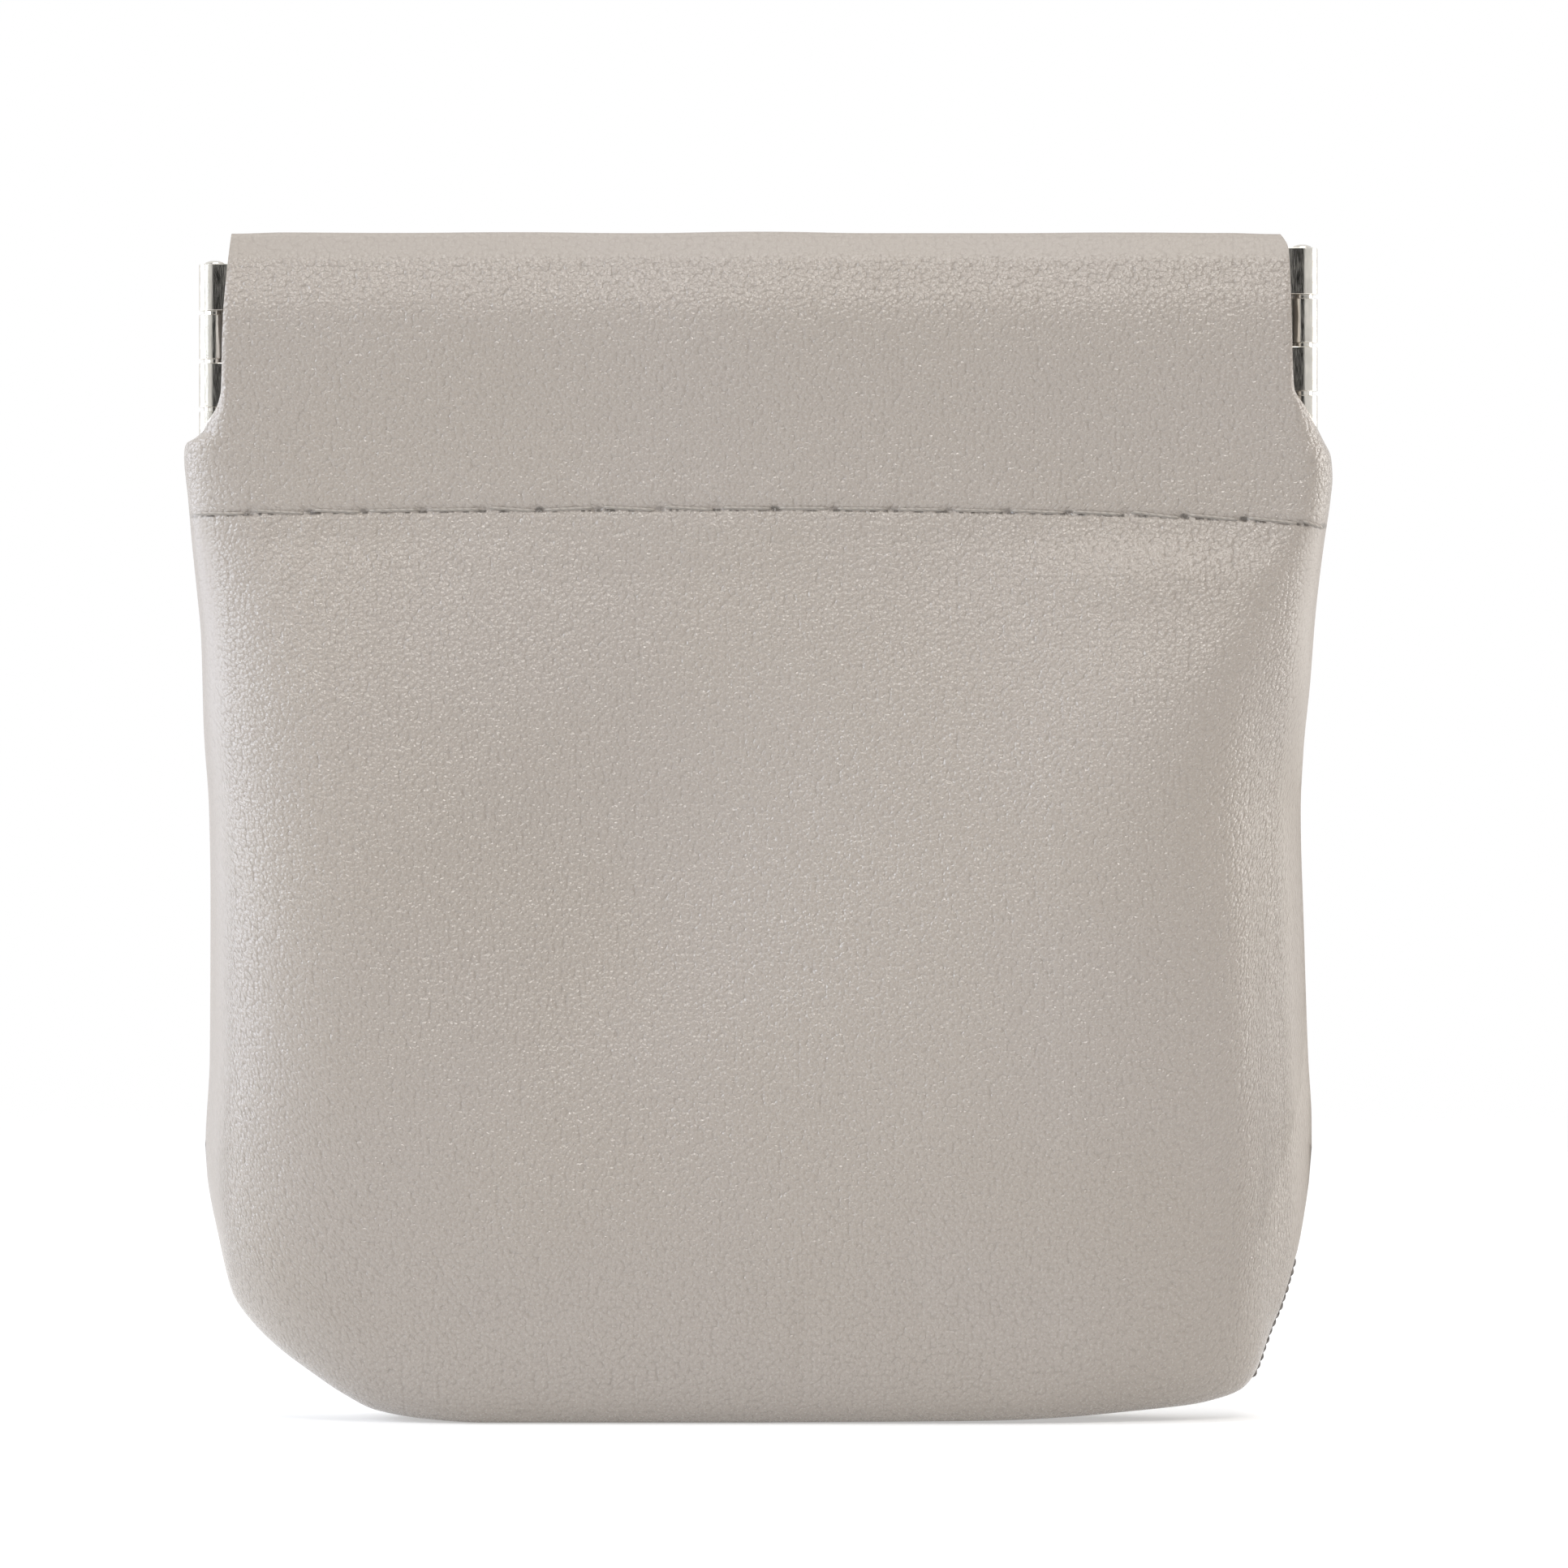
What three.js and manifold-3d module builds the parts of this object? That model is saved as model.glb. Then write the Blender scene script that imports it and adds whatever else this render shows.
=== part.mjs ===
// Squeeze-top leather pouch with a sprung flex frame in its mouth.
// Millimetres. +Z is up, +X is to the right of the front, the front faces -Y.
// The origin is at the bottom centre: the middle of the flat foot that the pouch stands on.
import * as THREE from "three";
import { mergeVertices } from "three/addons/utils/BufferGeometryUtils.js";
import Module from "manifold-3d";

const wasm = await Module();
wasm.setup();

// ---------------------------------------------------------------- driving dimensions
const TOP_Z = 87.7; // folded top edge of the mouth
const LEATHER = 1.05; // leather thickness
const SEAM_GAP = 0.2; // half of the gap between the two panels at the seam
const CASING_HALF_DEPTH = 2.85; // outer face of the casing from the middle plane
const CASING_END = { left: -39.2, right: 39.25 }; // where the casing is cut back
const HEM_END = 38.35; // the folded-in hem stops short of the hinges
const HEM_IN = 0.16; // inner hem layer, from the middle plane
const HEM_OUT = 0.86;
const HEM_LOW = 65.3; // raw edge of the folded-in hem
const TUNNEL_LOW = 66.95; // the stitched bottom of the tunnel that holds the strip
const TUNNEL_HIGH = 86.8; // underside of the top fold
const FOOT_HALF_DEPTH = 4.0; // the flat foot is this deep each way
const FOOT_RISE = 7.5; // height over which the foot rounds up into the belly

const PIN_X = 40.2; // hinge pins, which are also the side seams' fold lines
const PIN_R = 0.8;
const BORE_R = 1.08;
const BARREL_R = 1.48;
const FRAME_HIGH = 17.9; // height of the spring strips
const KNUCKLES = 5; // per hinge: three on the front strip and two on the back one
const KNUCKLE_GAP = 0.3;
const STRIP_IN = 1.13; // strip faces from the middle plane
const STRIP_OUT = 1.5;
const LEAF_END = 36.4; // where the knuckle leaf meets the strip
const STRIP_END = 36.0;
const FRAME_LOW = { left: 67.4, right: 68.6 }; // the frame sits a little higher on the right

const THREAD_R = 0.24;
const GROOVE_R = 0.56;
const STITCH_Z = [[-38.2, 66.8], [-20, 67.05], [0, 67.15], [20, 66.85], [38.2, 66.25]];
const SEAM_INSET = 1.15; // seam thread from the panel edge

// Outline of the pouch, as [z, x], from the bottom of each side up.
const LEFT = [
  [17.6, -40.9], [20.8, -40.9], [26.8, -40.55], [38.8, -40.5], [44.8, -40.6], [51, -41.0], [57.8, -41.2],
  [61.1, -41.5], [64.5, -41.85], [67.9, -42.2], [71.2, -42.45], [72.1, -42.3], [73.2, -41.1], [74.6, -39.9], [75.4, -39.45], [80.8, -39.3], [87.7, -39.0],
];
const RIGHT = [
  [17.4, 40.9], [22, 40.9], [26.8, 40.65], [35.8, 40.35], [44.8, 40.15], [49.3, 40.3], [54.4, 40.8],
  [59.5, 41.2], [64.5, 41.8], [67.9, 42.3], [70, 42.45], [71.2, 42.35], [72.6, 41.5], [74.5, 40.4], [76.1, 39.4], [80.8, 39.3], [87.7, 39.0],
];
// Bottom edge, as [share of the half width, z].
const BOTTOM_LEFT = [
  [0, 0], [0.55, 0], [0.6, 0.15], [0.69, 0.75], [0.745, 1.8], [0.815, 3.7], [0.872, 5.5], [0.928, 7.9], [0.95, 9.2], [0.963, 11], [0.978, 13.7], [0.992, 16.1], [1, 17.6],
];
const BOTTOM_RIGHT = [
  [0, 0], [0.55, 0], [0.65, 0.2], [0.78, 0.9], [0.83, 1.4], [0.87, 2.1], [0.9, 3.4], [0.916, 5.2], [0.93, 6.7], [0.945, 8.2], [0.957, 9.8], [0.97, 11.5], [0.98, 13.2], [0.992, 15.6], [1, 17.4],
];
// Half depth of the pouch on its middle line, as [z, half depth].
const BELLY = [
  [0, 6.2], [7.5, 7.4], [14, 8.1], [24, 8.4], [34, 8.1], [44, 7.2], [52, 5.9], [58, 4.7], [63, 3.5], [66, 2.95], [68, CASING_HALF_DEPTH], [90, CASING_HALF_DEPTH],
];
// How far from its edge a panel takes to round out to its full depth, as [z, distance].
const ROUNDING = [
  [0, 8.5], [20, 9], [40, 9], [55, 7], [62, 3.6], [66, 1.5], [73, 1.35], [75.2, 0.5], [76, 0.01], [90, 0.01],
];

const LEATHER_LOOK = new THREE.MeshStandardMaterial({ color: 0xb4aca3, roughness: 0.5, metalness: 0 });
const STEEL_LOOK = new THREE.MeshStandardMaterial({ color: 0xc9c7c0, roughness: 0.25, metalness: 1 });
const THREAD_LOOK = new THREE.MeshStandardMaterial({ color: 0xb9b1a7, roughness: 0.7, metalness: 0 });

// ---------------------------------------------------------------- helpers
function table(rows, at) {
  if (at <= rows[0][0]) return rows[0][1];
  for (let i = 1; i < rows.length; i++) {
    if (at <= rows[i][0]) {
      const [a, va] = rows[i - 1], [b, vb] = rows[i];
      return va + ((vb - va) * (at - a)) / (b - a);
    }
  }
  return rows[rows.length - 1][1];
}

function solidOf(geometry) {
  const bare = new THREE.BufferGeometry();
  const g = geometry.index ? geometry.toNonIndexed() : geometry;
  bare.setAttribute("position", g.getAttribute("position").clone());
  const merged = mergeVertices(bare, 1e-4);
  const mesh = new wasm.Mesh({
    numProp: 3,
    vertProperties: new Float32Array(merged.attributes.position.array),
    triVerts: new Uint32Array(merged.index.array),
  });
  mesh.merge();
  return new wasm.Manifold(mesh);
}

function geometryOf(solid) {
  const m = solid.getMesh();
  const g = new THREE.BufferGeometry();
  const p = new Float32Array(m.numVert * 3);
  for (let i = 0; i < m.numVert; i++) for (let k = 0; k < 3; k++) p[3 * i + k] = m.vertProperties[i * m.numProp + k];
  g.setAttribute("position", new THREE.BufferAttribute(p, 3));
  g.setIndex([...m.triVerts]);
  g.computeVertexNormals();
  return g;
}

function box(x0, x1, y0, y1, z0, z1) {
  const g = new THREE.BoxGeometry(x1 - x0, y1 - y0, z1 - z0);
  g.translate((x0 + x1) / 2, (y0 + y1) / 2, (z0 + z1) / 2);
  return solidOf(g);
}

// A closed ring or rod around the Z axis through x, from a profile of [radius, z].
function turned(profile, x, segments) {
  const g = new THREE.LatheGeometry(profile.map(([r, z]) => new THREE.Vector2(r, z)), segments);
  g.rotateX(Math.PI / 2);
  g.translate(x, 0, 0);
  let solid = solidOf(g);
  if (solid.volume() < 0) {
    const flipped = new THREE.LatheGeometry([...profile].reverse().map(([r, z]) => new THREE.Vector2(r, z)), segments);
    flipped.rotateX(Math.PI / 2);
    flipped.translate(x, 0, 0);
    solid = solidOf(flipped);
  }
  return solid;
}

function tube(points, radius, sides, steps) {
  const ring = [];
  for (let i = 0; i < sides; i++) ring.push(new THREE.Vector2(radius * Math.cos((2 * Math.PI * i) / sides), radius * Math.sin((2 * Math.PI * i) / sides)));
  const path = new THREE.CatmullRomCurve3(points.map((p) => new THREE.Vector3(...p)), false, "centripetal");
  return new THREE.ExtrudeGeometry(new THREE.Shape(ring), { extrudePath: path, steps, bevelEnabled: false });
}

// ---------------------------------------------------------------- the leather panels
// Where a panel's outer face is: share of the width (-1 left edge, 1 right edge) and row number.
const ROWS_UP = [0.1, 0.2, 0.31, 0.43, 0.55, 0.66, 0.75, 0.82];
const LEVELS_UP = [66, 68.2, 71.2, 73.2, 75.3, 76.2, 81, 87.2];
const FOOT_ROWS = 3, ROUND_ROWS = [18, 38, 62, 90];

function edgeX(share, z) {
  return share < 0 ? -share * table(LEFT, z) : share * table(RIGHT, z);
}

function bottomZ(share) {
  return share < 0 ? table(BOTTOM_LEFT, -share) : table(BOTTOM_RIGHT, share);
}

function halfDepth(share, z) {
  const full = table(BELLY, z), reach = table(ROUNDING, z), zb = bottomZ(share);
  const side = Math.abs(edgeX(Math.sign(share) || 1, z)) - Math.abs(edgeX(share, z));
  const corner = Math.abs(share) > 0.6 && z < 40 ? (z - zb) * 0.8 + 0.01 : 99;
  const q = Math.min(1, Math.min(side, corner + side) / reach);
  const least = SEAM_GAP + LEATHER;
  return least + (full - least) * Math.sqrt(Math.max(0, 1 - (1 - q) ** 2));
}

function column(share) {
  const zb = bottomZ(share), out = [];
  const flat = 1 - Math.max(0, Math.min(1, (Math.abs(share) - 0.55) / 0.45));
  const foot = SEAM_GAP + LEATHER * 0.2 + (FOOT_HALF_DEPTH - SEAM_GAP - LEATHER * 0.2) * flat;
  const rise = FOOT_RISE * (0.35 + 0.65 * flat);
  const z1 = zb + rise, d1 = Math.max(foot + 0.02, halfDepth(share, z1));
  for (let i = 0; i < FOOT_ROWS; i++) out.push([SEAM_GAP + ((foot - SEAM_GAP) * i) / (FOOT_ROWS - 1), zb]);
  for (const a of ROUND_ROWS) {
    const t = (a * Math.PI) / 180;
    out.push([foot + (d1 - foot) * Math.sin(t), zb + rise * (1 - Math.cos(t))]);
  }
  for (const f of ROWS_UP) {
    const z = z1 + (64.5 - z1) * (f / 0.9);
    out.push([halfDepth(share, z), z]);
  }
  for (const z of LEVELS_UP) out.push([halfDepth(share, z), z]);
  return out.map(([d, z]) => [edgeX(share, z), d, z]);
}

function panelShell(side) {
  const shares = [];
  const inner = [0, 0.14, 0.28, 0.42, 0.55, 0.66, 0.75, 0.82, 0.88, 0.925, 0.955, 0.978, 0.992, 1];
  for (let i = inner.length - 1; i > 0; i--) shares.push(-inner[i]);
  shares.push(...inner);
  const outer = shares.map(column);
  const nu = outer.length, nv = outer[0].length;
  // The inner face is the outer one moved in by the leather's thickness, and kept off the other panel.
  const inside = outer.map((col, u) =>
    col.map((p, v) => {
      const a = outer[Math.max(0, u - 1)][v], b = outer[Math.min(nu - 1, u + 1)][v];
      const c = outer[u][Math.max(0, v - 1)], d = outer[u][Math.min(nv - 1, v + 1)];
      const n = new THREE.Vector3(b[0] - a[0], b[1] - a[1], b[2] - a[2])
        .cross(new THREE.Vector3(d[0] - c[0], d[1] - c[1], d[2] - c[2]))
        .normalize();
      if (n.y > 0) n.negate();
      const q = [p[0] + n.x * LEATHER, p[1] + n.y * LEATHER, p[2] + n.z * LEATHER];
      if (u === 0 || u === nu - 1) q[0] = p[0] * 0.996;
      if (v === 0) q[2] = Math.max(q[2], p[2] + LEATHER * 0.9);
      if (v === nv - 1) q[2] = p[2];
      if (p[2] > 75.9) { q[0] = p[0]; q[1] = p[1] - LEATHER; q[2] = p[2]; }
      q[1] = Math.max(SEAM_GAP, q[1]);
      return q;
    }),
  );
  const at = [], faces = [];
  const id = (layer, u, v) => (layer * nu + u) * nv + v;
  for (const layer of [outer, inside]) for (const col of layer) for (const [x, d, z] of col) at.push(x, side * d, z);
  const quad = (a, b, c, d) => faces.push(a, b, c, a, c, d);
  for (let u = 0; u + 1 < nu; u++)
    for (let v = 0; v + 1 < nv; v++) {
      quad(id(0, u, v), id(0, u + 1, v), id(0, u + 1, v + 1), id(0, u, v + 1));
      quad(id(1, u, v), id(1, u, v + 1), id(1, u + 1, v + 1), id(1, u + 1, v));
    }
  for (let u = 0; u + 1 < nu; u++) {
    quad(id(0, u + 1, 0), id(0, u, 0), id(1, u, 0), id(1, u + 1, 0));
    quad(id(0, u, nv - 1), id(0, u + 1, nv - 1), id(1, u + 1, nv - 1), id(1, u, nv - 1));
  }
  for (let v = 0; v + 1 < nv; v++) {
    quad(id(0, 0, v), id(0, 0, v + 1), id(1, 0, v + 1), id(1, 0, v));
    quad(id(0, nu - 1, v + 1), id(0, nu - 1, v), id(1, nu - 1, v), id(1, nu - 1, v + 1));
  }
  if (side > 0) for (let i = 0; i < faces.length; i += 3) [faces[i + 1], faces[i + 2]] = [faces[i + 2], faces[i + 1]];
  const g = new THREE.BufferGeometry();
  g.setAttribute("position", new THREE.BufferAttribute(new Float32Array(at), 3));
  g.setIndex(faces);
  return solidOf(g);
}

// A straight bar along X whose section is given as [distance from the middle plane, z].
function bar(side, x0, x1, section) {
  const shape = new THREE.Shape(section.map(([d, z]) => new THREE.Vector2(side * d, z)));
  const g = new THREE.ExtrudeGeometry(shape, { depth: x1 - x0, bevelEnabled: false, steps: 1 });
  const m = new THREE.Matrix4().set(0, 0, 1, x0, 1, 0, 0, 0, 0, 1, 0, 0, 0, 0, 0, 1);
  g.applyMatrix4(m);
  return solidOf(g);
}

const D = CASING_HALF_DEPTH;
function hem(side) {
  const fold = bar(side, CASING_END.left + 0.25, CASING_END.right - 0.3, [
    [HEM_IN, TUNNEL_HIGH], [D - 0.02, TUNNEL_HIGH], [D - 0.02, 87.2], [D - 0.25, 87.52], [D - 0.75, TOP_Z], [HEM_IN + 0.75, TOP_Z], [HEM_IN + 0.2, 87.5], [HEM_IN, 87.1],
  ]);
  const layer = bar(side, -HEM_END, HEM_END, [[HEM_IN, HEM_LOW], [HEM_OUT, HEM_LOW], [HEM_OUT, TUNNEL_HIGH + 0.2], [HEM_IN, TUNNEL_HIGH + 0.2]]);
  const pressed = bar(side, -HEM_END, HEM_END, [[HEM_IN + 0.1, HEM_LOW], [D - LEATHER + 0.35, HEM_LOW], [D - LEATHER + 0.35, TUNNEL_LOW], [HEM_IN + 0.1, TUNNEL_LOW]]);
  return fold.add(layer).add(pressed);
}

const stitchPoints = (side) => {
  const points = [];
  for (let i = 0; i <= 18; i++) {
    const x = -38.2 + (76.4 * i) / 18;
    points.push([x, side * (D + 0.06), table(STITCH_Z, x)]);
  }
  return points;
};

// The seams: down each side, and along the bottom, just inside the panels' edges.
function sideSeam(sign) {
  const points = [];
  for (const z of [66.3, 63, 58, 52, 44, 36, 28, 21, 18]) points.push([edgeX(sign, z) - sign * SEAM_INSET, 0, z]);
  return points;
}
const bottomSeam = [];
for (const s of [-0.965, -0.94, -0.9, -0.85, -0.78, -0.7, -0.6, -0.4, 0, 0.4, 0.6, 0.7, 0.78, 0.85, 0.89, 0.92, 0.945, 0.965]) {
  const z = bottomZ(s);
  bottomSeam.push([edgeX(s, z) - Math.sign(s) * 0.8 * Math.max(0, (Math.abs(s) - 0.8) / 0.2), 0, z + SEAM_INSET]);
}

const frontHemThread = tube(stitchPoints(-1), THREAD_R, 6, 36);
const backHemThread = tube(stitchPoints(1), THREAD_R, 6, 36);
const leftSeamThread = tube(sideSeam(-1), THREAD_R, 6, 16);
const rightSeamThread = tube(sideSeam(1), THREAD_R, 6, 16);
const bottomSeamThread = tube(bottomSeam, THREAD_R, 6, 34);

const longer = (points, by) => {
  const a = new THREE.Vector3(...points[0]), b = new THREE.Vector3(...points[1]);
  const c = new THREE.Vector3(...points[points.length - 1]), d = new THREE.Vector3(...points[points.length - 2]);
  const first = a.clone().add(a.clone().sub(b).normalize().multiplyScalar(by)), last = c.clone().add(c.clone().sub(d).normalize().multiplyScalar(by));
  return [first.toArray(), ...points, last.toArray()];
};
const seamGrooves = [sideSeam(-1), sideSeam(1), bottomSeam].map((p) => solidOf(tube(longer(p, 0.4), GROOVE_R, 8, 24)));

// Room for the hinges and the strips inside the casing.
function frameRoom(side) {
  let room = null;
  for (const sign of [-1, 1]) {
    const low = (sign < 0 ? FRAME_LOW.left : FRAME_LOW.right) - 0.3, high = low + FRAME_HIGH + 0.6, r = BARREL_R + 0.27;
    const barrel = turned([[0, low], [r, low], [r, high], [0, high]], sign * PIN_X, 20);
    const x0 = Math.min(sign * 35, sign * PIN_X), x1 = Math.max(sign * 35, sign * PIN_X);
    const leaf = side < 0 ? box(x0, x1, -STRIP_OUT - 0.27, -STRIP_IN + 0.2, low, high) : box(x0, x1, STRIP_IN - 0.2, STRIP_OUT + 0.27, low, high);
    room = room ? room.add(barrel).add(leaf) : barrel.add(leaf);
  }
  return room;
}

function panel(side) {
  let solid = panelShell(side).add(hem(side));
  solid = solid.subtract(frameRoom(side));
  solid = solid.subtract(solidOf(tube(longer(stitchPoints(side), 0.4), GROOVE_R, 8, 20)));
  for (const groove of seamGrooves) solid = solid.subtract(groove);
  return solid;
}

// ---------------------------------------------------------------- the flex frame
function strip(side) {
  const low = (x) => FRAME_LOW.left + ((FRAME_LOW.right - FRAME_LOW.left) * (x + PIN_X)) / (2 * PIN_X);
  const shape = new THREE.Shape([
    new THREE.Vector2(-STRIP_END, low(-STRIP_END) + 0.4), new THREE.Vector2(STRIP_END, low(STRIP_END) + 0.4),
    new THREE.Vector2(STRIP_END, low(STRIP_END) + FRAME_HIGH - 0.4), new THREE.Vector2(-STRIP_END, low(-STRIP_END) + FRAME_HIGH - 0.4),
  ]);
  const g = new THREE.ExtrudeGeometry(shape, { depth: STRIP_OUT - STRIP_IN, bevelEnabled: false, steps: 1 });
  const y0 = side < 0 ? -STRIP_OUT : STRIP_IN;
  g.applyMatrix4(new THREE.Matrix4().set(1, 0, 0, 0, 0, 0, -1, y0 + (STRIP_OUT - STRIP_IN), 0, 1, 0, 0, 0, 0, 0, 1));
  return solidOf(g);
}

function knuckles(side, sign) {
  const low = sign < 0 ? FRAME_LOW.left : FRAME_LOW.right, pitch = FRAME_HIGH / KNUCKLES, x = sign * PIN_X;
  const y0 = side < 0 ? -STRIP_OUT : STRIP_IN, y1 = side < 0 ? -STRIP_IN : STRIP_OUT;
  const leafEdge = PIN_X - BARREL_R - 0.35;
  const inner = Math.min(sign * LEAF_END, sign * leafEdge), outer = Math.max(sign * LEAF_END, sign * leafEdge);
  let solid = box(inner, outer, y0, y1, low + 0.25, low + FRAME_HIGH - 0.25);
  for (let i = 0; i < KNUCKLES; i++) {
    const front = i % 2 === 0;
    if (front !== side < 0) continue;
    const z0 = low + i * pitch + KNUCKLE_GAP / 2, z1 = low + (i + 1) * pitch - KNUCKLE_GAP / 2;
    const ring = turned([[BORE_R, z0], [BARREL_R - 0.15, z0], [BARREL_R, z0 + 0.15], [BARREL_R, z1 - 0.15], [BARREL_R - 0.15, z1], [BORE_R, z1], [BORE_R, z0]], x, 20);
    const tongue = box(Math.min(sign * (leafEdge - 0.2), x), Math.max(sign * (leafEdge - 0.2), x), y0, y1, z0 + 0.1, z1 - 0.1);
    solid = solid.add(ring).add(tongue);
  }
  return solid.subtract(turned([[0, low - 1], [BORE_R - 0.002, low - 1], [BORE_R - 0.002, low + FRAME_HIGH + 1], [0, low + FRAME_HIGH + 1]], x, 20));
}

function pin(sign) {
  const low = (sign < 0 ? FRAME_LOW.left : FRAME_LOW.right) + 0.2, high = low + FRAME_HIGH - 0.4;
  return turned([[0, low], [PIN_R - 0.25, low], [PIN_R, low + 0.25], [PIN_R, high - 0.25], [PIN_R - 0.25, high], [0, high]], sign * PIN_X, 20);
}

// ---------------------------------------------------------------- the assembly
const group = new THREE.Group();
function piece(name, geometry, look) {
  const mesh = new THREE.Mesh(geometry, look);
  mesh.name = name;
  group.add(mesh);
}

piece("front_panel", geometryOf(panel(-1)), LEATHER_LOOK);
piece("back_panel", geometryOf(panel(1)), LEATHER_LOOK);
piece("front_strip", geometryOf(strip(-1)), STEEL_LOOK);
piece("back_strip", geometryOf(strip(1)), STEEL_LOOK);
piece("front_left_knuckles", geometryOf(knuckles(-1, -1)), STEEL_LOOK);
piece("front_right_knuckles", geometryOf(knuckles(-1, 1)), STEEL_LOOK);
piece("back_left_knuckles", geometryOf(knuckles(1, -1)), STEEL_LOOK);
piece("back_right_knuckles", geometryOf(knuckles(1, 1)), STEEL_LOOK);
piece("left_hinge_pin", geometryOf(pin(-1)), STEEL_LOOK);
piece("right_hinge_pin", geometryOf(pin(1)), STEEL_LOOK);
piece("front_hem_thread", geometryOf(solidOf(frontHemThread)), THREAD_LOOK);
piece("back_hem_thread", geometryOf(solidOf(backHemThread)), THREAD_LOOK);
piece("left_seam_thread", geometryOf(solidOf(leftSeamThread)), THREAD_LOOK);
piece("right_seam_thread", geometryOf(solidOf(rightSeamThread)), THREAD_LOOK);
piece("bottom_seam_thread", geometryOf(solidOf(bottomSeamThread)), THREAD_LOOK);

export default group;
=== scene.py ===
import math

import bpy
import numpy as np
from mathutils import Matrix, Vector


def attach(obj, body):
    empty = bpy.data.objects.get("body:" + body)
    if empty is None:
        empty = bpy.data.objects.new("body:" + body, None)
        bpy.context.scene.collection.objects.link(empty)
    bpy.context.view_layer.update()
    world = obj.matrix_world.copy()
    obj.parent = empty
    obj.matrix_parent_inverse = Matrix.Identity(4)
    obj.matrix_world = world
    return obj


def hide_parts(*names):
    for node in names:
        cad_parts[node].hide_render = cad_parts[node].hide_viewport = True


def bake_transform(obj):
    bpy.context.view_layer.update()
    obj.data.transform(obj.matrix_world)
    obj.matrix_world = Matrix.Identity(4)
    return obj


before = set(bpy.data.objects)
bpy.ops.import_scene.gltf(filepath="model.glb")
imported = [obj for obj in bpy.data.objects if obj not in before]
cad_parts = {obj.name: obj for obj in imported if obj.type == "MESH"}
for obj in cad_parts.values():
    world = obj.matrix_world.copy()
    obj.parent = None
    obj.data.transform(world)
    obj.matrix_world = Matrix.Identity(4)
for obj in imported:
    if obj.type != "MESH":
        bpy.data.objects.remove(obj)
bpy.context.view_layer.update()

MM = 0.001

# ------------------------------------------------------------------ dimensions, in mm
TOP = 87.7
CASING = 2.85            # outer face of the casing from the middle plane
LEATHER = 1.0
HEM_IN, HEM_OUT = 0.16, 0.88
HEM_LOW = 65.3
FOLD_LOW = 80.7          # where the top starts to roll over
PIN_X = 40.2
BARREL_R, BARREL_IN, PIN_R = 1.16, 0.86, 0.8
FRAME_LOW = {"left": 67.4, "right": 68.6}
FRAME_HIGH = 17.9
KNUCKLES, KNUCKLE_GAP = 5, 0.3
SIGN = {"left": -1.0, "right": 1.0}
FACE = {"front": -1.0, "back": 1.0}


def curve(rows):
    """A smooth curve through (at, value) rows that doesn't overshoot."""
    xs = np.array([r[0] for r in rows], float)
    ys = np.array([r[1] for r in rows], float)
    h = np.diff(xs)
    m = np.diff(ys) / h
    d = np.zeros_like(ys)
    d[0], d[-1] = m[0], m[-1]
    for i in range(1, len(xs) - 1):
        if m[i - 1] * m[i] > 0:
            w1, w2 = 2 * h[i] + h[i - 1], h[i] + 2 * h[i - 1]
            d[i] = (w1 + w2) / (w1 / m[i - 1] + w2 / m[i])

    def at(x):
        x = np.clip(np.asarray(x, float), xs[0], xs[-1])
        k = np.clip(np.searchsorted(xs, x, side="right") - 1, 0, len(xs) - 2)
        t = (x - xs[k]) / h[k]
        return ((1 + 2 * t) * (1 - t) ** 2 * ys[k] + t * (1 - t) ** 2 * h[k] * d[k]
                + t * t * (3 - 2 * t) * ys[k + 1] + t * t * (t - 1) * h[k] * d[k + 1])

    return at


def step(a, b, x):
    t = np.clip((np.asarray(x, float) - a) / (b - a), 0, 1)
    return t * t * (3 - 2 * t)


def bump(x, middle, width):
    return np.exp(-(((np.asarray(x, float) - middle) / width) ** 2))


def soft_noise(x, z, cell, seed):
    """Smooth seeded noise from -1 to 1 over a cell size in mm."""
    grid = np.random.default_rng(seed).uniform(-1, 1, (64, 64))
    gx, gz = np.asarray(x) / cell + 32.0, np.asarray(z) / cell + 16.0
    ix, iz = np.floor(gx).astype(int), np.floor(gz).astype(int)
    fx, fz = gx - ix, gz - iz
    fx = fx ** 3 * (fx * (fx * 6 - 15) + 10)
    fz = fz ** 3 * (fz * (fz * 6 - 15) + 10)
    g = lambda i, k: grid[i % 64, k % 64]
    return ((g(ix, iz) * (1 - fx) + g(ix + 1, iz) * fx) * (1 - fz)
            + (g(ix, iz + 1) * (1 - fx) + g(ix + 1, iz + 1) * fx) * fz)


# Half width of the pouch by height, bottom edge by share of the half width.
EDGE = {
    "left": curve([
        (0, 40.9), (17.6, 40.9), (20.8, 40.85), (26.8, 40.55), (38.8, 40.5), (44.8, 40.6), (51, 41.0), (57.8, 41.2), (61.1, 41.5),
        (64.5, 41.85), (67.9, 42.15), (71.2, 42.45), (72.0, 42.35), (72.6, 41.4), (73.5, 40.75), (75.1, 39.75), (76, 39.55), (80.8, 39.4), (85.2, 39.1), (87.7, 38.85)]),
    "right": curve([
        (0, 40.9), (17.4, 40.9), (22, 40.9), (26.8, 40.65), (35.8, 40.35), (44.8, 40.1), (49.3, 40.3), (54.4, 40.8), (59.5, 41.2),
        (64.5, 41.8), (67.9, 42.3), (69.5, 42.45), (71, 42.35), (72.4, 41.7), (74.5, 40.5), (76.1, 39.45), (80.8, 39.25), (86.4, 39.1), (87.7, 38.4)]),
}
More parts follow.
